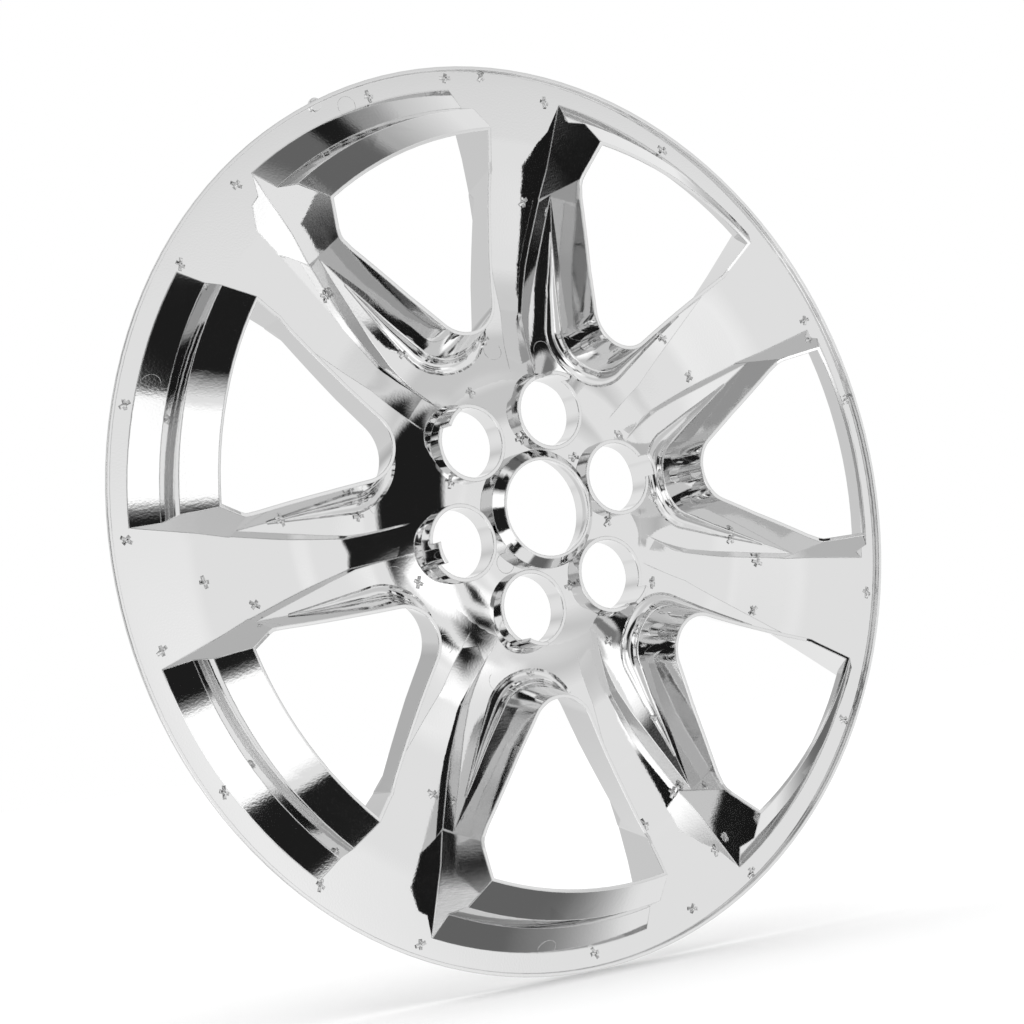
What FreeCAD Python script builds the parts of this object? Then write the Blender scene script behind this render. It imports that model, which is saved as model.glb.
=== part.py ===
"""One-piece moulded wheel cover: seven spokes, seven walled windows, six lug tubes and a centre collar.

The cover is a skin of even thickness. It is made as the space behind its front face less the space behind
its rear face, and both spaces come from one function that takes the distance between them.
Modelled with h along the wheel axis, rearward, then turned so that the axis is Y and the rear faces -Y.
The origin is the middle of the centre bore.
"""
import FreeCAD, Part
import math
import os
from FreeCAD import Vector

# Skin
WALL = 2.2
SPOKES = 7
CLOCK_DEG = 134.4            # turn of the first spoke from +X; one lug hole lies in line with it

# Rim: outer radius, the return edge round it, the flange floor behind it and the rounded front corner
RIM_R = 274.0
RIM_EDGE = 2.4
RIM_FLOOR_H = -3.0
FLANGE_W = 12.0
RIM_ROUND = 4.2
NIB_R, NIB_DEG, NIB_PROUD = 4.0, 112.4, 1.6

# Spoke panel: a ramp from the hub to the neck, then a shallow trough out to the flange
RAMP_HUB_R, RAMP_HUB_H = 80.0, 5.9
RAMP_MID_R, RAMP_MID_H = 105.5, -4.0
PANEL_NECK_R, PANEL_NECK_H = 126.0, -8.9
PANEL_MID_R, PANEL_MID_H = 155.0, -11.6
PANEL_KNEE_IN, PANEL_KNEE_H = 56.0, -3.4
PANEL_ROUND = 150.0

# Kink, where the step beside the panel runs into the window wall, and the step's half width towards the hub
KINK_IN, KINK_V = 77.0, 25.0
STEP_CLEAR = 0.3
STEP_NECK_U, STEP_NECK_V = 122.0, 10.0
STEP_HUB_U, STEP_HUB_V = 80.0, 7.6
STEP_DRAFT = 0.18
STEP_RUNOUT = 1.2            # how far the front of the step runs out along the spoke, per unit of height
STEP_FOOT_H, STEP_TOP_H = -6.3, 15.0
STEP_END_IN = 62.0

# Hub floor and the shelf beside each step
HUB_FLOOR_R, HUB_FLOOR_H = 78.0, 6.5
SHELF_DIP_R, SHELF_RISE_R, SHELF_H = 101.0, 140.0, -2.4
SHELF_END_IN, SHELF_END_H = 58.0, 5.6
SHELF_ROUND = 80.0

# Window walls: distance from the spoke's middle line at h = 0, and draft per unit of height
HUB_SIDE_V, HUB_SIDE_DRAFT, HUB_SIDE_BOW = 28.5, 0.225, 0.74
RIM_SIDE_SLOPE, RIM_SIDE_DRAFT = 0.2578, 0.1872
TIP_R, TIP_TAPER = 26.4, -0.137
TIP_ARCS = 8                 # arcs that make up the rounded hub end

# Outer wall of the window, from the flange to its free edge: distance in from the rim, and height
ARC_FOOT_IN, ARC_FOOT_H = 13.5, -3.5
ARC_STEP_IN, ARC_STEP_H = 28.2, 8.5
ARC_LEDGE_IN, ARC_LEDGE_H = 32.3, 24.0
ARC_LIP_IN, ARC_LIP_H = 47.9, 41.2

# Free edge of the window walls: its height along the radius
LIP_HUB_R, LIP_HUB_H = 100.0, 33.4
LIP_MID_R, LIP_MID_H = 150.0, 28.1
LIP_BEND_IN, LIP_BEND_H = 73.0, 26.2
LIP_ROUND = 25.0

# Lug tubes, each with an upright tongue on its outer side
LUGS = 6
LUG_CIRCLE_D = 120.0
LUG_R, LUG_WALL, LUG_MOUTH_H = 20.7, 2.4, 17.6
LUG_FLARE = 2.2
TONGUE_W, TONGUE_H = 13.0, 9.0

# Collar round the centre bore: an upright ring, then a slope up to the mouth
RING_R, RING_H = 35.6, 18.4
BORE_R, BORE_MOUTH_H, BORE_LENGTH = 28.7, 24.0, 2.6
BORE_FLARE, MOUTH_WALL = 1.3, 1.6

# How far the solids that cut the part reach past it, their levels, and how corners are eased
BEYOND = 8.4
EASE_STRIPS = 2              # cone strips that ease a corner of a turned profile
FRONT_H = PANEL_MID_H - BEYOND
REAR_H = ARC_LIP_H + BEYOND
FAR_R = RIM_R + BEYOND
KINK_U = RIM_R - KINK_IN
STEP_END_R = RIM_R - STEP_END_IN

PITCH = 2 * math.pi / SPOKES
HALF = PITCH / 2
AXIS = Vector(0, 0, 1)
CENTRE = Vector(0, 0, 0)


def at(r, h):
    """Point of a turned profile."""
    return Vector(r, 0, h)


def turned(*runs):
    """Solid of revolution of a closed profile, given as edges and corner points in order."""
    edges = []
    last = None
    for run in runs:
        if isinstance(run, Vector):
            if last is not None and not last.isEqual(run, 1e-7):
                edges.append(Part.LineSegment(last, run).toShape())
            last = run
        else:
            if last is not None and not last.isEqual(run.StartPoint, 1e-7):
                edges.append(Part.LineSegment(last, run.StartPoint).toShape())
            edges.append(run.toShape())
            last = run.EndPoint
    return Part.Face(Part.Wire(edges)).revolve(CENTRE, AXIS, 360)


def eased(before, corner, after, radius):
    """Points that ease a profile corner by strips, on an arc that both its sides have room for."""
    room = min((before - corner).Length, (after - corner).Length) * 0.48
    back, on = (before - corner).normalize(), (after - corner).normalize()
    half = back.getAngle(on) / 2
    reach = min(radius / math.tan(half), room)
    middle = (back + on).normalize() * reach * (1 / math.cos(half) - math.tan(half))
    arc = Part.Arc(corner + back * reach, corner + middle, corner + on * reach)
    return arc.toShape().discretize(Number=EASE_STRIPS + 1)


def moved(points, distance):
    """Profile corners moved to the left of their path, with the corners kept sharp."""
    def line(a, b):
        along = (b - a).normalize()
        side = Vector(-along.z, 0, along.x) * distance
        return a + side, along

    lines = [line(a, b) for a, b in zip(points, points[1:])]
    result = [lines[0][0]]
    for (p, d), (q, e) in zip(lines, lines[1:]):
        cross = d.x * e.z - d.z * e.x
        step = ((q.x - p.x) * e.z - (q.z - p.z) * e.x) / cross
        result.append(p + d * step)
    last, along = lines[-1]
    return result + [last + along * (points[-1] - points[-2]).Length]


def around(shape, count, first):
    """Copies of a shape set evenly round the wheel axis."""
    copies = []
    for index in range(count):
        copy = shape.copy()
        copy.rotate(CENTRE, AXIS, math.degrees(first) + index * 360 / count)
        copies.append(copy)
    return copies


def joined(shapes):
    """Shapes fused into one."""
    return shapes[0].multiFuse(shapes[1:]).removeSplitter()


def loft(outline, low, high):
    """Ruled solid between an outline at one level and the same outline at a higher level."""
    return Part.makeLoft([outline(low), outline(high)], True, True)


def step_prism(offset):
    """Space over one spoke panel, between the sides of its step; the spoke lies along X."""
    slope = (KINK_V - STEP_NECK_V) / (KINK_U - STEP_NECK_U)

    def outline(h):
        out = STEP_DRAFT * h + offset * math.sqrt(1 + slope ** 2 + STEP_DRAFT ** 2) + STEP_CLEAR
        kink_u = KINK_U - (STEP_RUNOUT * (h - STEP_FOOT_H + offset) if offset else 0)
        kink_v = KINK_V + slope * (kink_u - KINK_U) + out
        half = [(STEP_HUB_U, STEP_HUB_V + out), (STEP_NECK_U, STEP_NECK_V + out), (kink_u, kink_v),
                (STEP_END_R + RIM_EDGE, max(kink_v, KINK_V + out) + 6 * WALL)]
        corners = [Vector(u, v, h) for u, v in half] + [Vector(u, -v, h) for u, v in reversed(half)]
        return Part.makePolygon(corners + corners[:1])
    return loft(outline, FRONT_H, STEP_TOP_H)


def window_plug(offset):
    """Space inside one window's walls; the window's middle line lies along X."""
    def from_spoke(u, v, h):
        return Vector(u * math.cos(HALF) + v * math.sin(HALF), u * math.sin(HALF) - v * math.cos(HALF), h)

    def mirrored(p):
        return Vector(p.x, -p.y, p.z)

    def outline(h):
        hub_v = HUB_SIDE_DRAFT * h + offset * math.hypot(1, HUB_SIDE_DRAFT)
        rim_v = RIM_SIDE_DRAFT * h + offset * math.sqrt(1 + RIM_SIDE_SLOPE ** 2 + RIM_SIDE_DRAFT ** 2)
        tip = TIP_R + TIP_TAPER * h - offset
        tip_x = (HUB_SIDE_V + hub_v + tip) / math.sin(HALF)
        turns = [(math.pi / 2 - HALF) * (k / TIP_ARCS - 1) for k in range(2 * TIP_ARCS + 1)]
        ring = [Vector(tip_x - tip * math.cos(t), tip * math.sin(t), h) for t in turns]
        elbow_u = KINK_U + (hub_v - rim_v) / RIM_SIDE_SLOPE
        elbow = from_spoke(elbow_u, KINK_V + hub_v, h)
        bow_v = (HUB_SIDE_V + KINK_V) / 2 + HUB_SIDE_BOW + hub_v
        middle = from_spoke((tip_x * math.cos(HALF) + elbow_u) / 2, bow_v, h)
        outer = from_spoke(FAR_R, KINK_V + rim_v + RIM_SIDE_SLOPE * (FAR_R - KINK_U), h)
        edges = [Part.Arc(*ring[k:k + 3]) for k in range(0, 2 * TIP_ARCS, 2)]
        edges += [Part.Arc(ring[-1], middle, elbow),
                  Part.LineSegment(elbow, outer), Part.LineSegment(outer, mirrored(outer)),
                  Part.LineSegment(mirrored(outer), mirrored(elbow)),
                  Part.Arc(mirrored(elbow), mirrored(middle), ring[0])]
        return Part.Wire([edge.toShape() for edge in edges])

    foot, step = at(RIM_R - ARC_FOOT_IN, ARC_FOOT_H), at(RIM_R - ARC_STEP_IN, ARC_STEP_H)
    ledge, lip = at(RIM_R - ARC_LEDGE_IN, ARC_LEDGE_H), at(RIM_R - ARC_LIP_IN, ARC_LIP_H)
    front = step + (foot - step) * ((FRONT_H - step.z) / (foot.z - step.z))
    rear = ledge + (lip - ledge) * ((REAR_H - ledge.z) / (lip.z - ledge.z))
    wall = moved([front, step, ledge, rear], offset)
    inside = turned(at(0, wall[0].z), *wall, at(0, wall[-1].z), at(0, wall[0].z))
    return loft(outline, FRONT_H, REAR_H).common(inside)


def space_behind(offset):
    """Everything behind the skin's rear face, with that face moved forward by an offset."""
    def level(r, h):
        return at(r, h - offset)

    rim_r = RIM_R - RIM_EDGE + offset
    ramp = Part.Arc(level(RAMP_HUB_R, RAMP_HUB_H), level(RAMP_MID_R, RAMP_MID_H),
                    level(PANEL_NECK_R, PANEL_NECK_H)).toShape().discretize(Number=EASE_STRIPS + 2)
    neck, mid = level(PANEL_NECK_R, PANEL_NECK_H), level(PANEL_MID_R, PANEL_MID_H)
    knee = level(RIM_R - PANEL_KNEE_IN, PANEL_KNEE_H)
    over_panel = turned(at(RAMP_HUB_R, REAR_H), *ramp, *eased(neck, mid, knee, PANEL_ROUND), knee,
                        level(RIM_R - FLANGE_W, RIM_FLOOR_H), level(rim_r, RIM_FLOOR_H), at(rim_r, REAR_H),
                        at(RAMP_HUB_R, REAR_H))
    floor, dip = level(HUB_FLOOR_R, HUB_FLOOR_H), level(SHELF_DIP_R, SHELF_H)
    rise, end = level(SHELF_RISE_R, SHELF_H), level(RIM_R - SHELF_END_IN, SHELF_END_H)
    over_shelf = turned(at(0, REAR_H), level(0, HUB_FLOOR_H), floor, *eased(floor, dip, rise, SHELF_ROUND),
                        rise, end, at(end.x, REAR_H), at(0, REAR_H))
    ring = turned(at(STEP_END_R, FRONT_H), at(FAR_R, FRONT_H), at(FAR_R, REAR_H), at(STEP_END_R, REAR_H),
                  at(STEP_END_R, FRONT_H))
    deep = joined([ring] + around(step_prism(offset), SPOKES, 0)).common(over_panel)
    return joined([over_shelf, deep]).cut(around(window_plug(offset), SPOKES, HALF))


def envelope():
    """Space inside the free edges: the window walls' lips, the rim's return edge and its front corner."""
    hub, mid = at(LIP_HUB_R, LIP_HUB_H), at(LIP_MID_R, LIP_MID_H)
    bend, end = at(RIM_R - LIP_BEND_IN, LIP_BEND_H), at(RIM_R - ARC_LIP_IN, ARC_LIP_H)
    lip = [hub, mid] + eased(mid, bend, end, LIP_ROUND) + [end]
    front = RIM_FLOOR_H - WALL
    inner = RIM_R - RIM_ROUND
    turns = [math.radians(90 * k / EASE_STRIPS) for k in range(EASE_STRIPS + 1)]
    corner = [at(inner + RIM_ROUND * math.cos(t), front + RIM_ROUND * (1 - math.sin(t))) for t in turns]
    flange_r = RIM_R - FLANGE_W
    return turned(at(0, FRONT_H), at(0, LIP_HUB_H), *lip, at(flange_r, ARC_LIP_H), at(flange_r, 0),
                  at(RIM_R, 0), *corner, at(inner, FRONT_H), at(0, FRONT_H))


def gate_nib():
    """Stub left on the rim where the moulding was fed."""
    nib = Part.makeCylinder(NIB_R, WALL, at(RIM_R + NIB_PROUD - NIB_R, RIM_FLOOR_H))
    nib.rotate(CENTRE, AXIS, NIB_DEG - CLOCK_DEG)
    return nib


def lug_tube():
    """Tube round one lug hole, standing on the hub floor, with its tongue on the side away from the axis."""
    foot = HUB_FLOOR_H - WALL
    base, mouth = at(LUG_CIRCLE_D / 2, foot), at(LUG_CIRCLE_D / 2, LUG_MOUTH_H)
    outer = LUG_R + LUG_WALL
    tube = Part.makeCylinder(outer, LUG_MOUTH_H - foot, base)
    flare = Part.makeCone(outer + LUG_FLARE, outer, LUG_FLARE + WALL, base)
    root = Part.makeCylinder(outer + LUG_FLARE, 2 * WALL, base - AXIS * 2 * WALL)
    blade = Part.makeBox(2 * outer, TONGUE_W, TONGUE_H, mouth - Vector(0, TONGUE_W / 2, 0))
    tongue = Part.makeCylinder(outer, TONGUE_H, mouth).common(blade)
    return tube.fuse([root, flare, tongue])


def lug_hole():
    """Hole through one lug tube."""
    return Part.makeCylinder(LUG_R, REAR_H - FRONT_H, at(LUG_CIRCLE_D / 2, FRONT_H))


def collar():
    """Collar round the centre bore, sloped in to the mouth, filled at first."""
    foot = HUB_FLOOR_H - WALL
    return turned(at(0, foot), at(RING_R, foot), at(RING_R, RING_H), at(BORE_R + MOUTH_WALL, BORE_MOUTH_H),
                  at(0, BORE_MOUTH_H), at(0, foot))


def collar_bore():
    """Recess for a centre cap and the bore behind it."""
    recess = RING_R - WALL
    step = RING_H - WALL
    return turned(at(0, FRONT_H), at(recess, FRONT_H), at(recess, step), at(BORE_R + BORE_FLARE, step),
                  at(BORE_R, BORE_MOUTH_H - BORE_LENGTH), at(BORE_R, REAR_H), at(0, REAR_H), at(0, FRONT_H))


def wheel_cover():
    """The finished moulding in the part's own frame."""
    front = space_behind(WALL)
    skin = front.common(envelope()).cut(space_behind(0))
    raised = joined([collar()] + around(lug_tube(), LUGS, 0)).common(front)
    body = joined([skin, raised, gate_nib()])
    body = body.cut(around(lug_hole(), LUGS, 0) + [collar_bore()]).removeSplitter()
    body.translate(-at(0, BORE_MOUTH_H - BORE_LENGTH / 2))
    body.rotate(CENTRE, AXIS, CLOCK_DEG)
    body.rotate(CENTRE, Vector(1, 0, 0), 90)
    return body


os.makedirs("parts", exist_ok=True)
cover = wheel_cover()
print("wheel_cover", cover.ShapeType, "solids", len(cover.Solids), "faces", len(cover.Faces),
      "valid", cover.isValid(), "volume cm3", round(cover.Volume / 1000, 1))
cover.exportStep("parts/wheel_cover.step")
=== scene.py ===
"""Chrome-plated wheel cover seen from behind, in a white studio.

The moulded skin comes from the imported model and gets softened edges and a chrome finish. On it lie the
rounded feet of the window walls, the swelling of the hub floor, and the small marks that moulding leaves:
crossed support nubs and the rings of ejector pins.
"""
import logging
import math
from dataclasses import dataclass, field
from enum import Enum
from typing import Any, Callable, Optional

import bmesh
import bpy
from mathutils import Matrix, Vector
from mathutils.bvhtree import BVHTree


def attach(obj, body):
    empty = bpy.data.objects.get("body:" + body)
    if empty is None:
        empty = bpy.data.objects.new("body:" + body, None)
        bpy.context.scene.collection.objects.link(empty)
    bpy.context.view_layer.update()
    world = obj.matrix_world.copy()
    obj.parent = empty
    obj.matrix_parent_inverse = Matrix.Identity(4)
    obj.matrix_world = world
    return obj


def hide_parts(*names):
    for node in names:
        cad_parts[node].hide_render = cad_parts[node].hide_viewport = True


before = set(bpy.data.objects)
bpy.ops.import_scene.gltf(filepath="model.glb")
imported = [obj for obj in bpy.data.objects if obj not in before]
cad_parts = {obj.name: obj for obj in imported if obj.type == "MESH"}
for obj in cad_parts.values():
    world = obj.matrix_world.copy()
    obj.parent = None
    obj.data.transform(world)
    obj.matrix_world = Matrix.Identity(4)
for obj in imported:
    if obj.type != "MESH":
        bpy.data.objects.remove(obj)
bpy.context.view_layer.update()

BODY = "root"
MM = 0.001
SOFT_EDGE_DEG = 35.0

log = logging.getLogger("wheel_cover")


def linear(code: str) -> tuple[float, float, float, float]:
    """Turn an sRGB hex value into linear colour.

    Args:
        code: Six hex digits, with or without a leading hash.

    Returns:
        Red, green, blue and an alpha of 1, all linear.
    """
    parts = [int(code.lstrip("#")[k:k + 2], 16) / 255 for k in (0, 2, 4)]
    red, green, blue = (c / 12.92 if c <= 0.04045 else ((c + 0.055) / 1.055) ** 2.4 for c in parts)
    return red, green, blue, 1.0


def add_node(tree: bpy.types.NodeTree, kind: str, settings: Optional[dict[str, Any]] = None,
             inputs: Optional[dict[Any, Any]] = None) -> bpy.types.Node:
    """Add a node, set it up and link what feeds it.

    Args:
        tree: Node tree that gets the node.
        kind: Blender's identifier of the node type.
        settings: Values of the node's own properties.
        inputs: Values or source sockets by input name or index.

    Returns:
        The new node.
    """
    made = tree.nodes.new(kind)
    for name, value in (settings or {}).items():
        setattr(made, name, value)
    for key, value in (inputs or {}).items():
        if isinstance(value, bpy.types.NodeSocket):
            tree.links.new(value, made.inputs[key])
        else:
            made.inputs[key].default_value = value
    return made


def add_object(name: str, mesh: bpy.types.Mesh) -> bpy.types.Object:
    """Put a mesh into the scene.

    Args:
        name: Name of the new object.
        mesh: Mesh that it shows.

    Returns:
        The new object, at the origin.
    """
    made = bpy.data.objects.new(name, mesh)
    bpy.context.scene.collection.objects.link(made)
    return made


def shade_soft_edges(work: bmesh.types.BMesh) -> None:
    """Let the shading run on over soft edges, and stop at sharp or open ones.

    Args:
        work: Mesh whose edges are set.
    """
    for edge in work.edges:
        edge.smooth = edge.is_manifold and edge.calc_face_angle() < math.radians(SOFT_EDGE_DEG)


@dataclass(frozen=True)
class ChromePlate:
    """Chrome-plated ABS: a bright mirror over moulded plastic, with the mould's draw lines left in it."""

    name: str = "Chrome-plated ABS, moulded"
    colour: str = "#DEDEDE"
    haze_low: float = 0.02
    haze_high: float = 0.07
    cloud_mm: float = 60.0
    cloud_range: tuple[float, float] = (0.35, 0.7)
    draw_line_mm: float = 1.3
    draw_length_mm: float = 22.0
    draw_depth_mm: float = 0.015
    corner_mm: float = 0.9
    wave_mm: float = 7.0
    wave_depth_mm: float = 0.012
    wave_share: float = 0.3
    draw_share: float = 0.8
    corner_samples: int = 6

    def material(self) -> bpy.types.Material:
        """Build the node material.

        Returns:
            The finished material.
        """
        made = bpy.data.materials.new(self.name)
        made.use_nodes = True
        tree = made.node_tree
        tree.nodes.clear()
        place = add_node(tree, "ShaderNodeTexCoord").outputs["Object"]
        # clouds of haze, as handling leaves on plating, soften the mirror in broad patches
        cloud = add_node(tree, "ShaderNodeTexNoise", {"noise_dimensions": "3D"},
                         {"Vector": place, "Scale": 1 / (self.cloud_mm * MM), "Detail": 4.0,
                          "Roughness": 0.6})
        haze = add_node(tree, "ShaderNodeMapRange", None,
                        {"Value": cloud.outputs["Fac"], "From Min": self.cloud_range[0],
                         "From Max": self.cloud_range[1], "To Min": self.haze_low, "To Max": self.haze_high})
        # draw lines run along the wheel axis, where the mould slid off the walls, and streak the reflections;
        # real ones are too fine to show, so they are drawn coarser
        stretch = self.draw_line_mm / self.draw_length_mm
        along = add_node(tree, "ShaderNodeMapping", None, {"Vector": place, "Scale": (1.0, stretch, 1.0)})
        lines = add_node(tree, "ShaderNodeTexNoise", {"noise_dimensions": "3D"},
                         {"Vector": along.outputs["Vector"], "Scale": 1 / (self.draw_line_mm * MM),
                          "Detail": 2.0, "Roughness": 0.5})
        # a slow ripple of the moulded wall bends the reflections
        wave = add_node(tree, "ShaderNodeTexNoise", {"noise_dimensions": "3D"},
                        {"Vector": place, "Scale": 1 / (self.wave_mm * MM), "Detail": 1.0})
        # plating builds up in corners and over edges, so each one shows a thin line of light and dark
        rounded = add_node(tree, "ShaderNodeBevel", {"samples": self.corner_samples},
                           {"Radius": self.corner_mm * MM})
        ripple = add_node(tree, "ShaderNodeBump", None,
                          {"Height": wave.outputs["Fac"], "Strength": self.wave_share,
                           "Distance": self.wave_depth_mm * MM, "Normal": rounded.outputs["Normal"]})
        relief = add_node(tree, "ShaderNodeBump", None,
                          {"Height": lines.outputs["Fac"], "Strength": self.draw_share,
                           "Distance": self.draw_depth_mm * MM, "Normal": ripple.outputs["Normal"]})
        shader = add_node(tree, "ShaderNodeBsdfPrincipled", None,
                          {"Base Color": linear(self.colour), "Metallic": 1.0,
                           "Roughness": haze.outputs["Result"], "Normal": relief.outputs["Normal"]})
        add_node(tree, "ShaderNodeOutputMaterial", None, {"Surface": shader.outputs["BSDF"]})
        return made


@dataclass(frozen=True)
class Profile:
    """Smooth height of a turned floor, given by its height at one radius and its slope at several."""

    start_mm: float
    knots: tuple[tuple[float, float], ...]

    def slope(self, radius: float) -> float:
        """Slope of the floor.

        Args:
            radius: Distance from the wheel axis, in mm.

        Returns:
            Rise for each mm outwards.
        """
        for (r0, s0), (r1, s1) in zip(self.knots, self.knots[1:]):
            if radius < r1:
                return s0 + (s1 - s0) * max(radius - r0, 0.0) / (r1 - r0)
        return self.knots[-1][1]

    def height(self, radius: float) -> float:
        """Height of the floor.

        Args:
            radius: Distance from the wheel axis, in mm.

        Returns:
            Height along the wheel axis, in mm.
        """
        level = self.start_mm
        for (r0, s0), (r1, s1) in zip(self.knots, self.knots[1:]):
            reach = min(max(radius - r0, 0.0), r1 - r0)
            level += reach * (s0 + (s1 - s0) * reach / (r1 - r0) / 2)
        return level


@dataclass
class MouldedSkin:
    """The one-piece skin: spokes, windows, lug tubes and collar, with edges as soft as a mould makes them."""

    node: str = "wheel_cover"
    finish: ChromePlate = field(default_factory=ChromePlate)
    # corners that count as one, edges sharp enough to be rounded, and faces even enough to be shaded as one
    merge_mm: float = 0.004
    crease_deg: float = 28.0
    edge_mm: float = 0.3
    blend_deg: float = 6.0
    # the part's own sizes, with heights counted rearward from the level
    wall_mm: float = 2.2
    spokes: int = 7
    lugs: int = 6
    clock_deg: float = 134.4
    lug_circle_mm: float = 60.0
    lug_reach_mm: float = 26.0
    level_mm: float = 22.7
    # limits that sort faces into floors, walls and tubes; inside the shared radius the floors are one ramp
    shared_mm: float = 95.0
    wall_lean: float = 0.6
    floor_lean: float = 0.85
    floor_span_mm: tuple[float, float] = (78.0, 262.0)
    floor_gap_mm: float = 0.5
    lean_gap: float = 0.02
    turned_match: float = 0.985
    tip_reach_mm: float = 130.0
    tip_gap_mm: float = 0.7
    tip_slack: float = 0.01
    # share of the wheel axis in the normals of the turned walls
    leans: tuple[float, ...] = (0.0, 0.2558, 0.4472, 0.6718, 0.6873, 0.7746, 1.0)
    # radius of a window's hub end and half width of a spoke, each with its change for a mm of height
    tip_mm: tuple[float, float] = (26.4, -0.137)
    tip_side_mm: tuple[float, float] = (28.5, 0.225)
    # floors of the spokes: the height at the first radius, then the slope at each radius
    panel: Profile = Profile(5.9, ((80, -0.47), (125.9, -0.18), (126, -0.093), (138.4, -0.093),
                                   (171.5, 0.13), (209, 0.13), (227, 0.009), (262, 0.009)))
    shelf: Profile = Profile(6.5, ((78, -0.387), (86, -0.387), (116, 0.0), (130, 0.0),
                                   (150, 0.105), (216, 0.105)))

    def build(self) -> bpy.types.Object:
        """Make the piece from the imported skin, soften its edges and dress it.

        Returns:
            The skin's object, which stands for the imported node.
        """
        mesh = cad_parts[self.node].data.copy()
        mesh.name = "chrome_skin"
        self.soften(mesh)
        mesh.materials.clear()
        mesh.materials.append(self.finish.material())
        made = add_object("chrome_skin", mesh)
        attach(made, BODY)
        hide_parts(self.node)
        return made

    def soften(self, mesh: bpy.types.Mesh) -> None:
        """Join the loose triangles, round the sharp edges and give every corner the true surface's normal.

        Args:
            mesh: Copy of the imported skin, changed in place.
        """
        work = bmesh.new()
        work.from_mesh(mesh)
        bmesh.ops.remove_doubles(work, verts=work.verts, dist=self.merge_mm * MM)
        crease = math.radians(self.crease_deg)
        sharp = [e for e in work.edges if e.is_manifold and e.calc_face_angle() > crease]
        strips = set(bmesh.ops.bevel(work, geom=sharp, offset=self.edge_mm * MM, offset_type="WIDTH",
                                     segments=2, profile=0.5, affect="EDGES", clamp_overlap=False)["faces"])
        work.normal_update()
        normals = self.true_normals(work, strips)
        for face in work.faces:
            face.smooth = True
        work.to_mesh(mesh)
        work.free()
        mesh.normals_split_custom_set(normals)

    def true_normals(self, work: bmesh.types.BMesh, strips: set[bmesh.types.BMFace]) -> list[Vector]:
        """Work out the normal of every face corner.

        Args:
            work: The softened skin.
            strips: Faces of the rounded edges.

        Returns:
            One normal for each corner, in the order of the faces.
        """
        blend = math.cos(math.radians(self.blend_deg))
        known: dict[int, list[Vector]] = {}
        corners: dict[tuple[int, int], Vector] = {}
        work.faces.index_update()
        work.verts.index_update()
        for face in work.faces:
            if face in strips:
                continue
            rule = self.rule_for(face)
            for vert in face.verts:
                if rule is not None:
                    normal = rule(vert.co)
                else:
                    near = [f for f in vert.link_faces
                            if f not in strips and f.normal.dot(face.normal) > blend]
                    normal = sum((f.normal * f.calc_area() for f in near), Vector()).normalized()
                # slivers without area leave a vector without direction
                if normal.length < 0.5:
                    normal = face.normal.copy()
                corners[face.index, vert.index] = normal
                known.setdefault(vert.index, []).append(normal)
        result = []
        for face in work.faces:
            for vert in face.verts:
                normal = corners.get((face.index, vert.index))
                if normal is None:
                    normal = sum(known.get(vert.index, [vert.normal]), Vector()).normalized()
                result.append(normal)
        return result

    def rule_for(self, face: bmesh.types.BMFace) -> Optional[Callable[[Vector], Vector]]:
        """Find the curved surface that a face belongs to.

        Args:
            face: A face of the skin.

        Returns:
            A function from a point to that surface's normal, or None for a flat or ruled wall.
        """
        centre = face.calc_center_median() / MM
        normal = face.normal
        height = self.level_mm - centre.y
        pitch = 2 * math.pi / self.spokes
        clock = math.radians(self.clock_deg)
        radius, angle = math.hypot(centre.x, centre.z), math.atan2(centre.z, centre.x)
        steep = abs(normal.y) < self.wall_lean
        if steep and radius < self.tip_reach_mm:
            window = clock + pitch * (math.floor((angle - clock) / pitch) + 0.5)
            if self.on_tip(window, centre):
                return lambda p: self.tip_normal(window, p / MM, normal)
        step = 2 * math.pi / self.lugs
        lug = clock + step * round((angle - clock) / step)
        axis = Vector((self.lug_circle_mm * math.cos(lug), 0.0, self.lug_circle_mm * math.sin(lug)))
        if steep and (centre - axis).xz.length < self.lug_reach_mm:
            return self.turned_rule(axis, normal, centre)
        if abs(normal.y) > self.floor_lean and self.floor_span_mm[0] < radius < self.floor_span_mm[1]:
            front = self.wall_mm if normal.y > 0 else 0.0
            gaps = {p: abs(p.height(radius) - front - height) for p in (self.panel, self.shelf)}
            profile = min(gaps, key=lambda p: gaps[p])
            if radius < self.shared_mm and gaps[self.shelf] < self.floor_gap_mm:
                profile = self.shelf
            if gaps[profile] < self.floor_gap_mm:
                return lambda p: self.floor_normal(profile, p / MM, normal)
        return self.turned_rule(Vector(), normal, centre)

    def turned_rule(self, axis: Vector, normal: Vector,
                    centre: Vector) -> Optional[Callable[[Vector], Vector]]:
        """Rule for a face that is turned about an upright axis.

        Args:
            axis: A point of the axis, in mm.
            normal: The face's own normal.
            centre: The face's middle, in mm.

        Returns:
            A function from a point to the turned surface's normal, or None if the face isn't turned.
        """
        across = Vector((normal.x, 0.0, normal.z))
        out = Vector((centre.x - axis.x, 0.0, centre.z - axis.z))
        # a level face, or one on the axis itself, has no side to be turned by
        if across.length < 0.01 or out.length < 1:
            return None
        if abs(across.normalized().dot(out.normalized())) < self.turned_match:
            return None
        lean = min(self.leans, key=lambda known: abs(known - abs(normal.y)))
        lean = lean if abs(lean - abs(normal.y)) < self.lean_gap else abs(normal.y)
        share = math.sqrt(1 - lean * lean) * (1 if across.dot(out) > 0 else -1)

        def rule(point: Vector) -> Vector:
            """Normal at a point of the turned surface."""
            arm = Vector((point.x / MM - axis.x, 0.0, point.z / MM - axis.z)).normalized()
            return Vector((arm.x * share, math.copysign(lean, normal.y), arm.z * share)).normalized()
        return rule

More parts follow.
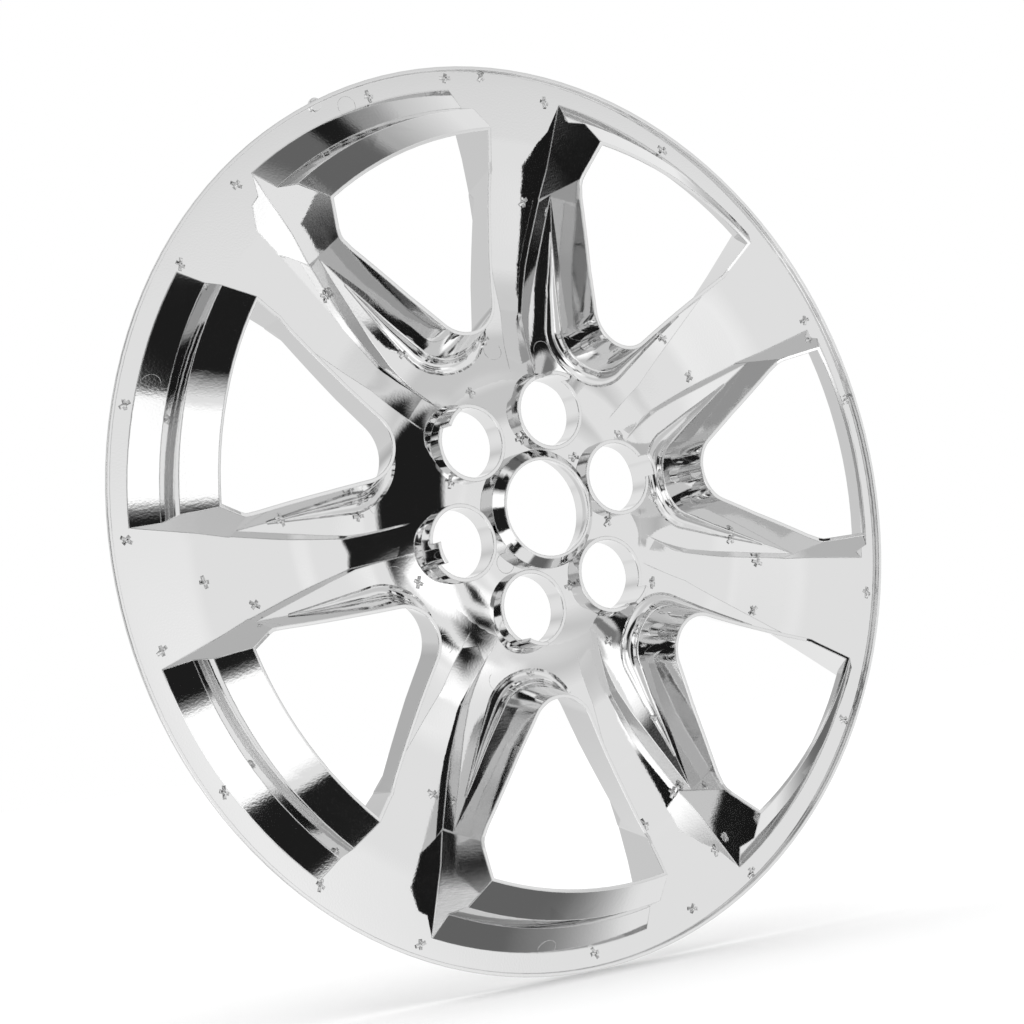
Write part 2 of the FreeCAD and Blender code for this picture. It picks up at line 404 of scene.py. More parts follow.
    def tip_frame(self, window: float, point: Vector) -> tuple[float, float, float]:
        """Place of a point against the rounded hub end of a window.

        Args:
            window: Angle of the window's middle line.
            point: A point, in mm.

        Returns:
            Distance along and across the window from the end's axis, and the end's radius at that height.
        """
        height = self.level_mm - point.y
        along = point.x * math.cos(window) + point.z * math.sin(window)
        across = -point.x * math.sin(window) + point.z * math.cos(window)
        tip = self.tip_mm[0] + self.tip_mm[1] * height
        middle = (self.tip_side_mm[0] + self.tip_side_mm[1] * height + tip) / math.sin(math.pi / self.spokes)
        return along - middle, across, tip

    def on_tip(self, window: float, point: Vector) -> bool:
        """Tell whether a point is on the rounded hub end of a window.

        Args:
            window: Angle of the window's middle line.
            point: A point, in mm.

        Returns:
            True on either face of the wall there.
        """
        along, across, tip = self.tip_frame(window, point)
        if abs(math.atan2(across, -along)) > math.pi / 2 - math.pi / self.spokes + self.tip_slack:
            return False
        depth = tip - math.hypot(along, across)
        return min(abs(depth), abs(depth - self.wall_mm)) < self.tip_gap_mm

    def tip_normal(self, window: float, point: Vector, facing: Vector) -> Vector:
        """Normal of the rounded hub end of a window.

        Args:
            window: Angle of the window's middle line.
            point: A point, in mm.
            facing: Normal of the face, for the side.

        Returns:
            The surface's normal at the point.
        """
        along, across, _ = self.tip_frame(window, point)
        reach = math.hypot(along, across)
        lean = (self.tip_side_mm[1] + self.tip_mm[1]) / math.sin(math.pi / self.spokes)
        a, b = along / reach, across / reach
        rise = -a * lean - self.tip_mm[1]
        normal = Vector((a * math.cos(window) - b * math.sin(window), -rise,
                         a * math.sin(window) + b * math.cos(window))).normalized()
        return normal if normal.dot(facing) > 0 else -normal

    def floor_normal(self, profile: Profile, point: Vector, facing: Vector) -> Vector:
        """Normal of a turned floor.

        Args:
            profile: The floor's profile.
            point: A point, in mm.
            facing: Normal of the face, for the side.

        Returns:
            The surface's normal at the point.
        """
        radius = math.hypot(point.x, point.z)
        slope = profile.slope(radius)
        normal = Vector((-slope * point.x / radius, -1.0, -slope * point.z / radius)).normalized()
        return normal if normal.dot(facing) > 0 else -normal


@dataclass
class FootCoves:
    """Rounded feet where the hub ends of the window walls rise from the floor."""

    skin: MouldedSkin
    surface: BVHTree
    material: bpy.types.Material
    leg_mm: float = 7.0
    end_leg_mm: float = 1.0
    run_mm: float = 60.0
    side_mm: float = 79.0
    kink_v_mm: float = 25.0
    bow_mm: float = 0.74
    across: int = 8
    middle_mm: float = 150.0
    side_steps: int = 12
    side_spread: float = 1.3
    turn_steps: int = 14
    probe_mm: float = 4.0
    floor_miss_mm: float = 5.0
    wall_miss_mm: float = 3.0
    lift_mm: float = 0.02
    bury_mm: float = 0.4
    settle_rounds: int = 12
    beside_mm: float = 0.5
    beside_turn: float = 0.01

    def build(self) -> bpy.types.Object:
        """Make the coves of all windows as one piece.

        Returns:
            The coves' object.
        """
        work = bmesh.new()
        for index in range(self.skin.spokes):
            window = math.radians(self.skin.clock_deg) + 2 * math.pi / self.skin.spokes * (index + 0.5)
            rows = [row for row in (self.section(window, *step) for step in self.steps()) if row is not None]
            self.sweep(work, rows)
        bmesh.ops.recalc_face_normals(work, faces=work.faces)
        for face in work.faces:
            face.smooth = True
        shade_soft_edges(work)
        mesh = bpy.data.meshes.new("foot_coves")
        work.to_mesh(mesh)
        work.free()
        mesh.materials.append(self.material)
        made = add_object("foot_coves", mesh)
        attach(made, BODY)
        return made

    def steps(self) -> list[tuple[float, float, float]]:
        """List the places along a window's foot.

        Returns:
            For each place its turn round the hub end, its distance along the side wall, and the cove's leg.
        """
        turn = math.pi / 2 - math.pi / self.skin.spokes
        shares = [k / self.side_steps for k in range(self.side_steps, 0, -1)]
        side = [share ** self.side_spread * self.run_mm for share in shares]
        fade = [self.leg_mm + (self.end_leg_mm - self.leg_mm) * s / self.run_mm for s in side]
        low = [(-turn, s, leg) for s, leg in zip(side, fade)]
        high = [(turn, s, leg) for s, leg in zip(reversed(side), reversed(fade))]
        tip = [(turn * (k / self.turn_steps - 1), 0.0, self.leg_mm) for k in range(2 * self.turn_steps + 1)]
        return low + tip + high

    def wall_point(self, window: float, turn: float, along: float, height: float) -> Vector:
        """Point of the wall's outer face.

        Args:
            window: Angle of the window's middle line.
            turn: Angle round the hub end, from its nearest point to the wheel axis.
            along: Distance along the side wall past the hub end, in mm.
            height: Height along the wheel axis, in mm.

        Returns:
            The point, in mm.
        """
        half = math.pi / self.skin.spokes
        tip = self.skin.tip_mm[0] + self.skin.tip_mm[1] * height
        side = self.skin.tip_side_mm[0] + self.skin.tip_side_mm[1] * height
        x = (side + tip) / math.sin(half) - tip * math.cos(turn)
        y = tip * math.sin(turn)
        if along:
            share = along / self.side_mm
            shift = (self.kink_v_mm - self.skin.tip_side_mm[0]) * share
            shift += self.bow_mm * 4 * share * (1 - share)
            sign = math.copysign(1.0, turn)
            x += along * math.cos(half) + shift * math.sin(half)
            y += sign * (along * math.sin(half) - shift * math.cos(half))
        return Vector((x * math.cos(window) - y * math.sin(window), self.skin.level_mm - height,
                       x * math.sin(window) + y * math.cos(window)))

    def section(self, window: float, turn: float, along: float, leg: float) -> Optional[list[Vector]]:
        """Closed cross-section of the cove at one place.

        Args:
            window: Angle of the window's middle line.
            turn: Angle round the hub end.
            along: Distance along the side wall, in mm.
            leg: How far the cove reaches up the wall and over the floor, in mm.

        Returns:
            Points in metres, from the wall to the floor and back through the corner, or None off the surface.
        """
        # wall and floor both lean, so their meeting point is found by going to and fro between them
        height = 0.0
        for _ in range(self.settle_rounds):
            foot = self.wall_point(window, turn, along, height)
            height = self.skin.shelf.height(math.hypot(foot.x, foot.z))
        foot = self.wall_point(window, turn, along, height)
        rise = (self.wall_point(window, turn, along, height + 1) - foot).normalized()
        nudge = (turn, along + self.beside_mm) if along > 0 else (turn + self.beside_turn, along)
        beside = (self.wall_point(window, *nudge, height) - foot).normalized()
        out = rise.cross(beside).normalized()
        middle = Vector((math.cos(window), 0.0, math.sin(window))) * self.middle_mm
        if out.dot(foot - middle) < 0:
            out = -out
        flat = Vector((out.x, 0.0, out.z)).normalized()
        far = (foot + flat * leg) * MM
        floor, _, _, _ = self.surface.ray_cast(Vector((far.x, -1.0, far.z)), Vector((0, 1, 0)))
        top = (foot + rise * leg) * MM
        wall, _, _, _ = self.surface.ray_cast(top + out * self.probe_mm * MM, -out)
        if floor is None or (floor - far).length > self.floor_miss_mm * MM:
            return None
        if wall is None or (wall - top).length > self.wall_miss_mm * MM:
            return None
        lift = self.lift_mm * MM
        ends = wall + out * lift, foot * MM, floor + Vector((0, -lift, 0))
        row = []
        for k in range(self.across + 1):
            t = k / self.across
            row.append(ends[0] * (1 - t) ** 2 + ends[1] * 2 * t * (1 - t) + ends[2] * t ** 2)
        return row + [foot * MM + (Vector((0, 1, 0)) - out) * self.bury_mm * MM]

    def sweep(self, work: bmesh.types.BMesh, rows: list[list[Vector]]) -> None:
        """Join cross-sections into a closed strip.

        Args:
            work: Mesh that gets the strip.
            rows: Cross-sections in order.
        """
        verts = [[work.verts.new(p) for p in row] for row in rows]
        count = len(verts[0])
        for one, two in zip(verts, verts[1:]):
            for k in range(count):
                work.faces.new((one[k], one[(k + 1) % count], two[(k + 1) % count], two[k]))
        work.faces.new(verts[0])
        work.faces.new(verts[-1][::-1])


@dataclass
class HubDome:
    """Swelling of the hub floor between the collar and the ramps, through which the lug tubes rise."""

    skin: MouldedSkin
    material: bpy.types.Material
    inner_mm: float = 34.6
    flat_mm: float = 50.0
    foot_mm: float = 78.0
    outer_mm: float = 82.6
    dive_slope: float = -0.47
    foot_height_mm: float = 6.53
    foot_slope: float = -0.387
    lug_clear_mm: float = 21.4
    shell_mm: float = 0.5
    step_mm: float = 1.0
    around: int = 360
    smooth_lean: float = 0.7

    def build(self) -> bpy.types.Object:
        """Make the swelling as one closed shell.

        Returns:
            The swelling's object.
        """
        work = bmesh.new()
        turns = [2 * math.pi * k / self.around for k in range(self.around)]
        count = round((self.outer_mm - self.inner_mm) / self.step_mm)
        radii = [self.inner_mm + (self.outer_mm - self.inner_mm) * k / count for k in range(count + 1)]
        rows = []
        for radius in radii:
            y = self.skin.level_mm - self.height(radius)
            rows.append([work.verts.new(Vector((radius * math.cos(t), y, radius * math.sin(t))) * MM)
                         for t in turns])
        for one, two in zip(rows, rows[1:]):
            for k in range(self.around):
                after = (k + 1) % self.around
                corners = (one[k], one[after], two[after], two[k])
                if all(self.clear_of_lugs(vert.co / MM) for vert in corners):
                    work.faces.new(corners)
        loose = [vert for vert in work.verts if not vert.link_faces]
        bmesh.ops.delete(work, geom=loose, context="VERTS")
        work.normal_update()
        if next(iter(work.faces)).normal.y > 0:
            bmesh.ops.reverse_faces(work, faces=work.faces)
        bmesh.ops.solidify(work, geom=work.faces[:], thickness=self.shell_mm * MM)
        bmesh.ops.recalc_face_normals(work, faces=work.faces)
        for face in work.faces:
            face.smooth = abs(face.normal.y) > self.smooth_lean
        shade_soft_edges(work)
        mesh = bpy.data.meshes.new("hub_dome")
        work.to_mesh(mesh)
        work.free()
        mesh.materials.append(self.material)
        made = add_object("hub_dome", mesh)
        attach(made, BODY)
        return made

    def height(self, radius: float) -> float:
        """Height of the swelling.

        Args:
            radius: Distance from the wheel axis, in mm.

        Returns:
            Height along the wheel axis, in mm.
        """
        run = Profile(0.0, ((self.flat_mm, 0.0), (self.foot_mm, self.foot_slope),
                            (self.outer_mm, self.dive_slope)))
        return self.foot_height_mm + run.height(radius) - run.height(self.foot_mm)

    def clear_of_lugs(self, point: Vector) -> bool:
        """Tell whether a point is clear of the lug tubes.

        Args:
            point: A point, in mm.

        Returns:
            True outside the tubes' bores, so that the swelling's cut edges hide in the tubes' walls.
        """
        step = 2 * math.pi / self.skin.lugs
        clock = math.radians(self.skin.clock_deg)
        lug = clock + step * round((math.atan2(point.z, point.x) - clock) / step)
        reach = self.skin.lug_circle_mm
        gap = math.hypot(point.x - reach * math.cos(lug), point.z - reach * math.sin(lug))
        return gap > self.lug_clear_mm


class MarkShape(Enum):
    """Shapes of the small marks that moulding leaves."""

    CROSS = "crossed nub"
    RING = "pin ring"


@dataclass
class MouldMarks:
    """Marks of one shape, set on the rear face at given angles and radii."""

    name: str
    shape: MarkShape
    places: list[tuple[float, float]]
    size_mm: float
    height_mm: float
    material: bpy.types.Material
    surfaces: tuple[BVHTree, ...]
    turn_step_deg: float = 53.0
    ridge_top: float = 0.25
    ridge_width: float = 0.3
    cross_deg: float = 72.0
    cross_share: float = 0.8
    ring_sides: int = 40
    ring_section_sides: int = 6

    def build(self) -> bpy.types.Object:
        """Set the marks on the skin.

        Returns:
            One object that holds all the marks of this shape.
        """
        mesh = self.points()
        made = add_object(self.name, mesh)
        grow = made.modifiers.new("marks", "NODES")
        tree = self.tree()
        grow.node_group = tree
        sockets = {s.name: s.identifier for s in tree.interface.items_tree if s.in_out == "INPUT"}
        grow[sockets["Size"]] = self.size_mm * MM
        grow[sockets["Height"]] = self.height_mm * MM
        grow[sockets["Finish"]] = self.material
        graph = bpy.context.evaluated_depsgraph_get()
        plain = bpy.data.meshes.new_from_object(made.evaluated_get(graph))
        made.modifiers.remove(grow)
        made.data = plain
        plain.name = self.name
        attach(made, BODY)
        return made

    def points(self) -> bpy.types.Mesh:
        """Find where the marks sit.

        Returns:
            A mesh of bare points with the surface's direction and a turn at each.
        """
        spots, facing = [], []
        for angle, radius in self.places:
            turn = math.radians(angle)
            start = Vector((radius * MM * math.cos(turn), -1.0, radius * MM * math.sin(turn)))
            hits = [tree.ray_cast(start, Vector((0, 1, 0))) for tree in self.surfaces]
            spot, normal, _, _ = min(hits, key=lambda hit: math.inf if hit[0] is None else hit[3])
            if spot is None:
                log.warning("no surface for a mark at %s degrees, %s mm", angle, radius)
                continue
            spots.append(spot)
            facing.append(normal if normal.y < 0 else -normal)
        mesh = bpy.data.meshes.new(self.name)
        mesh.from_pydata(spots, [], [])
        direction = mesh.attributes.new("facing", "FLOAT_VECTOR", "POINT")
        direction.data.foreach_set("vector", [c for n in facing for c in n])
        turns = mesh.attributes.new("turn", "FLOAT", "POINT")
        turns.data.foreach_set("value", [math.radians(self.turn_step_deg) * k for k in range(len(spots))])
        return mesh

    def tree(self) -> bpy.types.GeometryNodeTree:
        """Build the node tree that sets one mark on every point.

        Returns:
            The node tree, with size, height and finish as inputs.
        """
        tree = bpy.data.node_groups.new(f"marks as {self.shape.value}", "GeometryNodeTree")
        face = tree.interface
        face.new_socket("Points", in_out="INPUT", socket_type="NodeSocketGeometry")
        face.new_socket("Size", in_out="INPUT", socket_type="NodeSocketFloat")
        face.new_socket("Height", in_out="INPUT", socket_type="NodeSocketFloat")
        face.new_socket("Finish", in_out="INPUT", socket_type="NodeSocketMaterial")
        face.new_socket("Marks", in_out="OUTPUT", socket_type="NodeSocketGeometry")
        given = add_node(tree, "NodeGroupInput").outputs
        build = {MarkShape.CROSS: self.cross, MarkShape.RING: self.ring}[self.shape]
        mark = build(tree, given["Size"], given["Height"])
        facing = add_node(tree, "GeometryNodeInputNamedAttribute", {"data_type": "FLOAT_VECTOR"},
                          {"Name": "facing"})
        turn = add_node(tree, "GeometryNodeInputNamedAttribute", {"data_type": "FLOAT"}, {"Name": "turn"})
        upright = add_node(tree, "FunctionNodeAlignRotationToVector", {"axis": "Z"},
                           {"Vector": facing.outputs["Attribute"]})
        spin = add_node(tree, "FunctionNodeAxisAngleToRotation", None,
                        {"Axis": (0.0, 0.0, 1.0), "Angle": turn.outputs["Attribute"]})
        turned = add_node(tree, "FunctionNodeRotateRotation", {"rotation_space": "LOCAL"},
                          {"Rotation": upright.outputs["Rotation"], "Rotate By": spin.outputs["Rotation"]})
        placed = add_node(tree, "GeometryNodeInstanceOnPoints", None,
                          {"Points": given["Points"], "Instance": mark,
                           "Rotation": turned.outputs["Rotation"]})
        real = add_node(tree, "GeometryNodeRealizeInstances", None, {"Geometry": placed.outputs["Instances"]})
        dressed = add_node(tree, "GeometryNodeSetMaterial", None,
                           {"Geometry": real.outputs["Geometry"], "Material": given["Finish"]})
        add_node(tree, "NodeGroupOutput", None, {"Marks": dressed.outputs["Geometry"]})
        return tree

    def cross(self, tree: bpy.types.GeometryNodeTree, size: bpy.types.NodeSocket,
              height: bpy.types.NodeSocket) -> bpy.types.NodeSocket:
        """Two crossing ridges with sloped sides.

        Args:
            tree: Node tree that gets the nodes.
            size: Length of a ridge.
            height: Height of a ridge.

        Returns:
            The geometry of one mark.
        """
        wedge = add_node(tree, "GeometryNodeMeshCone", None,
                         {"Vertices": 4, "Radius Top": self.ridge_top, "Radius Bottom": math.sqrt(0.5),
                          "Depth": 1.0})
        square = add_node(tree, "GeometryNodeTransform", None,
                          {"Geometry": wedge.outputs["Mesh"], "Rotation": (0.0, 0.0, math.pi / 4)})
        narrow = add_node(tree, "ShaderNodeMath", {"operation": "MULTIPLY"}, {0: size, 1: self.ridge_width})
        ridges = []
        for turn, share in ((0.0, 1.0), (math.radians(self.cross_deg), self.cross_share)):
            reach = add_node(tree, "ShaderNodeMath", {"operation": "MULTIPLY"}, {0: size, 1: share})
            scale = add_node(tree, "ShaderNodeCombineXYZ", None,
                             {"X": reach.outputs[0], "Y": narrow.outputs[0], "Z": height})
            ridge = add_node(tree, "GeometryNodeTransform", None,
                             {"Geometry": square.outputs["Geometry"], "Scale": scale.outputs["Vector"]})
            ridges.append(add_node(tree, "GeometryNodeTransform", None,
                                   {"Geometry": ridge.outputs["Geometry"], "Rotation": (0.0, 0.0, turn)}))
        both = add_node(tree, "GeometryNodeJoinGeometry")
        for ridge in ridges:
            tree.links.new(ridge.outputs["Geometry"], both.inputs["Geometry"])
        return both.outputs["Geometry"]

    def ring(self, tree: bpy.types.GeometryNodeTree, size: bpy.types.NodeSocket,
             height: bpy.types.NodeSocket) -> bpy.types.NodeSocket:
        """A thin raised circle.

        Args:
            tree: Node tree that gets the nodes.
            size: Diameter of the circle.
            height: Radius of its thin section.

        Returns:
            The geometry of one mark.
        """
        half = add_node(tree, "ShaderNodeMath", {"operation": "MULTIPLY"}, {0: size, 1: 0.5})
        path = add_node(tree, "GeometryNodeCurvePrimitiveCircle", None,
                        {"Resolution": self.ring_sides, "Radius": half.outputs[0]})
        section = add_node(tree, "GeometryNodeCurvePrimitiveCircle", None,
                           {"Resolution": self.ring_section_sides, "Radius": height})
        tube = add_node(tree, "GeometryNodeCurveToMesh", None,
                        {"Curve": path.outputs["Curve"], "Profile Curve": section.outputs["Curve"]})
        return tube.outputs["Mesh"]


class CardKind(Enum):
    """Kinds of card that stand round the object, by the light they give back in its mirror."""

    FLAG = 0.016
    DIM = 0.16
    DUSK = 0.32
    GREY = 0.52
    PALE = 0.75
    GLOW = 1.15
    SOFTBOX = 1.4
    BRIGHT = 1.9


@dataclass(frozen=True)
class StudioCard:
    """A curved card far round the object, given by the directions it covers, in degrees.

    Azimuth runs from straight behind the cover towards +X, elevation runs up from level.
    """

    name: str
    kind: CardKind
    azimuth: tuple[float, float]
    elevation: tuple[float, float]
    feather: float = 4.0
    steps: int = 24

    def build(self, radius: float) -> bpy.types.Object:
        """Make the card.

        Args:
            radius: Distance from the origin.

        Returns:
            The card's object, seen only in reflections.
        """
        (a0, a1), (e0, e1) = self.azimuth, self.elevation
        spots, cover = [], []
        for i in range(self.steps + 1):
            for j in range(self.steps + 1):
                a, e = a0 + (a1 - a0) * i / self.steps, e0 + (e1 - e0) * j / self.steps
                inside = min(a - a0, a1 - a, e - e0, e1 - e) / self.feather
                cover.append(min(max(inside, 0.0), 1.0))
                az, el = math.radians(a), math.radians(e)
                spots.append((radius * math.sin(az) * math.cos(el), -radius * math.cos(az) * math.cos(el),
                              radius * math.sin(el)))
        row = self.steps + 1
        faces = [(i * row + j, i * row + j + 1, (i + 1) * row + j + 1, (i + 1) * row + j)
                 for i in range(self.steps) for j in range(self.steps)]
        mesh = bpy.data.meshes.new(self.name)
        mesh.from_pydata(spots, [], faces)
        mesh.attributes.new("cover", "FLOAT", "POINT").data.foreach_set("value", cover)
        mesh.materials.append(self.material())
        made = add_object(self.name, mesh)
        made.visible_camera = made.visible_diffuse = made.visible_shadow = made.visible_transmission = False
        return made

    def material(self) -> bpy.types.Material:
        """Cloth that glows or stays dark, and fades out towards its edges.

        Returns:
            The finished material.
        """
        made = bpy.data.materials.new(f"Studio card, {self.kind.name.lower()}")
        made.use_nodes = True
        tree = made.node_tree
        tree.nodes.clear()
        cover = add_node(tree, "ShaderNodeAttribute", {"attribute_name": "cover"})
        glow = add_node(tree, "ShaderNodeEmission", None, {"Strength": self.kind.value})
        clear = add_node(tree, "ShaderNodeBsdfTransparent")
        mixed = add_node(tree, "ShaderNodeMixShader", None,
                         {0: cover.outputs["Fac"], 1: clear.outputs[0], 2: glow.outputs[0]})
        add_node(tree, "ShaderNodeOutputMaterial", None, {"Surface": mixed.outputs[0]})
        made.cycles.emission_sampling = "NONE"
        return made


@dataclass
class Studio:
    """White studio: floor, soft light, cards for the mirror to show, and the camera."""

    floor_z: float = -0.2742
    floor_reach: float = 60.0
    floor_colour: str = "#F9F9F9"
    ambient: float = 0.9
    key_strength: float = 0.9
    key_angle_deg: float = 70.0
    key_tilt_deg: tuple[float, float] = (18.0, -12.0)
    card_radius: float = 12.0
    card_gap: float = 0.1
    cards: tuple[StudioCard, ...] = (
        StudioCard("card_flag_right_of_lens", CardKind.FLAG, (-21, 13), (-7, 36.5), 4.5),
        StudioCard("card_bright_low", CardKind.BRIGHT, (-26, 3), (-32, -4), 6.0),
        StudioCard("card_dusk_upper", CardKind.DUSK, (1, 12.5), (33, 41), 2.5),
        StudioCard("card_flag_low", CardKind.FLAG, (2, 18.5), (-35.5, -22.5), 5.0),
        StudioCard("card_flag_high_left", CardKind.FLAG, (-78.5, -47.5), (34, 67), 5.5),
        StudioCard("card_flag_high", CardKind.FLAG, (-54, -35.5), (19.5, 58)),
        StudioCard("card_soft_left", CardKind.SOFTBOX, (-71, -48.5), (11, 33), 2.0),
        StudioCard("card_soft_low_left", CardKind.SOFTBOX, (-71, -39), (-48, -20), 2.0),
        StudioCard("card_flag_bar_left", CardKind.FLAG, (-72, -43), (-25, 13), 2.0),
        StudioCard("card_flag_low_left", CardKind.FLAG, (-67.5, -52), (-68, -50), 1.5),
        StudioCard("card_flag_low_mid", CardKind.FLAG, (-53, -26.5), (-59, -42), 1.5),
        StudioCard("card_ceiling_end", CardKind.GREY, (60, 130), (60, 97), 14.0),
        StudioCard("card_floor_end", CardKind.GREY, (56, 122), (-98, -50), 14.0),
        StudioCard("card_ceiling", CardKind.DIM, (-55, 92), (68, 97), 7.0),
        StudioCard("card_ceiling_top", CardKind.DIM, (60, 130), (75.5, 97), 3.0),
        StudioCard("card_flag_ceiling", CardKind.FLAG, (34, 62), (70, 82), 5.0),
        StudioCard("card_floor", CardKind.DIM, (-2, 112), (-98, -52), 15.0),
        StudioCard("card_dusk_left", CardKind.DUSK, (-37.5, -16), (-15.5, 13), 5.5),
        StudioCard("card_dusk_above", CardKind.DUSK, (-36, -20), (30, 42), 3.0),
        StudioCard("card_pale_low_right", CardKind.PALE, (21, 74), (-38.5, -10.5), 13.0),
        StudioCard("card_grey_above", CardKind.GREY, (-41, 15), (38.5, 73), 2.5),
        StudioCard("card_pale_right", CardKind.PALE, (8, 65), (10, 48), 9.0),
        StudioCard("card_soft_right", CardKind.SOFTBOX, (12.5, 28.5), (-25.5, -7), 4.5),
        StudioCard("card_flag_gap", CardKind.FLAG, (8, 17), (-20, -9.5), 3.0),
        StudioCard("card_glow_edge", CardKind.GLOW, (22, 33), (-32, 7), 6.0),
        StudioCard("card_wing_left", CardKind.FLAG, (-112, -83), (-52, 52), 6.0),
        StudioCard("card_wing_right", CardKind.DIM, (100, 136), (-22, 24), 8.0),
        StudioCard("card_pale_behind", CardKind.PALE, (152, 214), (-22, 34), 9.0),
        StudioCard("card_grey_behind", CardKind.GREY, (164, 181), (4, 26), 6.0),
    )
    # place of the lens in metres and its directions, fitted to windows, lug holes and rim in the photograph
    camera_at: tuple[float, float, float] = (-0.98330, -1.43732, -0.12706)
    camera_right: tuple[float, float, float] = (0.82890, -0.53987, -0.14649)
    camera_ahead: tuple[float, float, float] = (0.55334, 0.82974, 0.07311)
    lens_mm: float = 103.9
    sensor_mm: float = 36.0

    def build(self) -> None:
        """Set up the whole studio."""
        self.camera()
        self.world()
        self.floor()
        self.key_light()
        for index, card in enumerate(self.cards):
            card.build(self.card_radius - self.card_gap * index)
            log.info("stage %s", card.name)
        bpy.context.scene.view_settings.view_transform = "Standard"

    def camera(self) -> None:
        """Stand the camera where the photograph was taken from."""
        data = bpy.data.cameras.new("camera")
        data.lens, data.sensor_width = self.lens_mm, self.sensor_mm
        made = bpy.data.objects.new("camera", data)
        bpy.context.scene.collection.objects.link(made)
        right, ahead = Vector(self.camera_right).normalized(), Vector(self.camera_ahead).normalized()
        up = right.cross(ahead).normalized()
        turn = Matrix((right, up, -ahead)).transposed().to_4x4()
        made.matrix_world = Matrix.Translation(self.camera_at) @ turn
        bpy.context.scene.camera = made

    def seen(self, tree: bpy.types.NodeTree) -> bpy.types.NodeSocket:
        """Tell the rays that look at a surface from those that light it.

        Args:
            tree: Node tree that gets the nodes.

        Returns:
            A socket that is 1 for camera, glossy and transmission rays.
        """
        path = add_node(tree, "ShaderNodeLightPath").outputs
        first = add_node(tree, "ShaderNodeMath", {"operation": "MAXIMUM"},
                         {0: path["Is Camera Ray"], 1: path["Is Glossy Ray"]})
        return add_node(tree, "ShaderNodeMath", {"operation": "MAXIMUM"},
                        {0: first.outputs[0], 1: path["Is Transmission Ray"]}).outputs[0]

    def world(self) -> None:
        """White to look at, and a plain level of light from all round."""
        made = bpy.data.worlds.new("white studio")
        bpy.context.scene.world = made
        made.use_nodes = True
        tree = made.node_tree
        tree.nodes.clear()
        light = add_node(tree, "ShaderNodeBackground", None, {"Strength": self.ambient})
        white = add_node(tree, "ShaderNodeBackground", None, {"Strength": 1.0})
        for node in (light, white):
            node.inputs["Color"].default_value = (1.0, 1.0, 1.0, 1.0)
        mixed = add_node(tree, "ShaderNodeMixShader", None,
                         {0: self.seen(tree), 1: light.outputs[0], 2: white.outputs[0]})
        add_node(tree, "ShaderNodeOutputWorld", None, {"Surface": mixed.outputs[0]})

    def floor(self) -> None:
        """Pale matt floor that takes the soft shadow."""
        mesh = bpy.data.meshes.new("floor")
        signs = (-1, -1), (1, -1), (1, 1), (-1, 1)
        mesh.from_pydata([(x * self.floor_reach, y * self.floor_reach, self.floor_z) for x, y in signs],
                         [], [(0, 1, 2, 3)])
        made = bpy.data.materials.new("Painted studio floor")
        made.use_nodes = True
        tree = made.node_tree
        tree.nodes.clear()
        paint = add_node(tree, "ShaderNodeBsdfDiffuse", None, {"Color": linear(self.floor_colour)})
        add_node(tree, "ShaderNodeOutputMaterial", None, {"Surface": paint.outputs[0]})
        mesh.materials.append(made)
        floor = add_object("floor", mesh)
        floor.visible_glossy = False

    def key_light(self) -> None:
        """One broad light from above."""
        data = bpy.data.lights.new("key", "SUN")
        data.energy = self.key_strength
        data.angle = math.radians(self.key_angle_deg)
        made = bpy.data.objects.new("key", data)
        bpy.context.scene.collection.objects.link(made)
        made.rotation_euler = (math.radians(self.key_tilt_deg[0]), math.radians(self.key_tilt_deg[1]), 0.0)
        made.visible_glossy = False


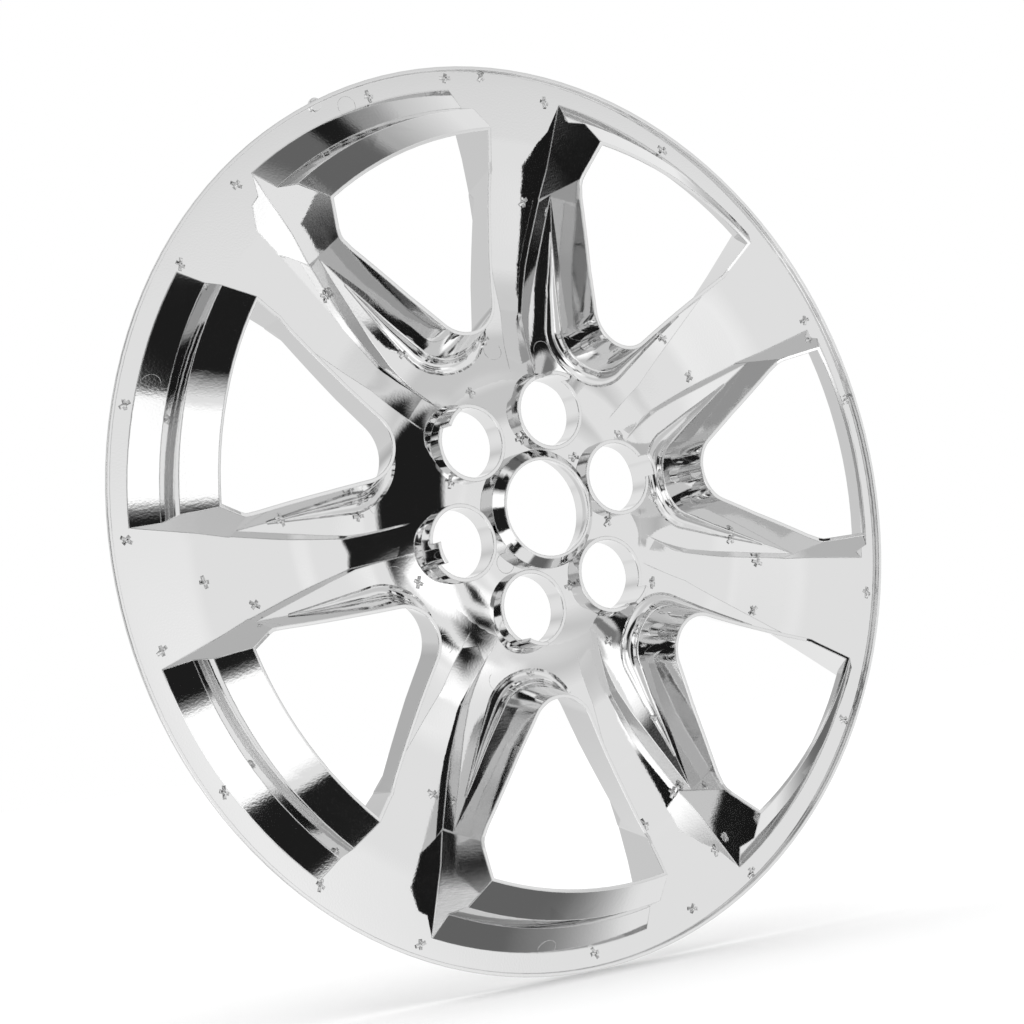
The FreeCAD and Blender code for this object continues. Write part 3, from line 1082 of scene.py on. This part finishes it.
# places of the marks, found in the photograph: degrees round the wheel axis and millimetres from it
CROSS_PLACES = [
    (92.1, 267.1), (86.5, 268.6), (104.3, 264.2), (128.4, 261.2), (79.3, 193.7), (76.5, 258.7), (56.6, 263.9),
    (24.1, 261.3), (28.0, 163.5), (39.6, 157.3), (29.8, 84.9), (11.5, 268.0), (128.8, 177.7), (124.0, 121.4),
    (95.4, 106.3), (112.1, 80.0), (176.7, 166.9), (176.0, 114.0), (-157.6, 89.5), (-174.7, 218.9),
    (-169.2, 189.8), (-167.5, 256.0), (-148.5, 262.8), (-119.2, 179.3), (-115.3, 265.1), (-131.2, 261.5),
    (-89.0, 264.0), (-72.2, 261.9), (-61.3, 267.5), (-64.5, 240.9), (-14.4, 179.7), (-24.3, 181.0),
    (-15.9, 264.7), (-34.5, 266.4), (-61.1, 149.7), (-65.6, 195.8), (-74.0, 202.4), (-98.2, 96.6),
    (-10.7, 153.2), (-30.4, 98.8), (-61.0, 93.4), (-71.6, 49.0), (159.4, 61.0), (96.2, 43.7), (42.8, 43.9),
    (-12.1, 51.1), (1.4, 96.1), (178.4, 262.2), (161.9, 265.0), (142.1, 260.0),
]
RING_PLACES = [
    (108.0, 263.0), (158.8, 253.9), (-96.7, 257.4), (93.5, 99.5), (-163.3, 100.8), (-110.4, 103.0),
    (72.8, 102.1), (172.3, 101.2), (-133.3, 40.1), (-134.2, 99.9),
]


def report(made: bpy.types.Object) -> None:
    """Log a finished piece."""
    log.info("piece %s: %d faces", made.name, len(made.data.polygons))


def main() -> None:
    """Build the cover and its studio in order."""
    logging.basicConfig(level=logging.INFO, format="%(message)s")
    mould = MouldedSkin()
    skin = mould.build()
    report(skin)
    chrome = skin.data.materials[0]
    surface = BVHTree.FromObject(skin, bpy.context.evaluated_depsgraph_get())
    report(FootCoves(mould, surface, chrome).build())
    dome = HubDome(mould, chrome).build()
    report(dome)
    ground = surface, BVHTree.FromObject(dome, bpy.context.evaluated_depsgraph_get())
    for marks in (MouldMarks("support_nubs", MarkShape.CROSS, CROSS_PLACES, size_mm=7.8, height_mm=1.6,
                             material=chrome, surfaces=ground),
                  MouldMarks("pin_rings", MarkShape.RING, RING_PLACES, size_mm=12.0, height_mm=0.14,
                             material=chrome, surfaces=ground)):
        report(marks.build())
    Studio().build()


if __name__ == "__main__":
    main()
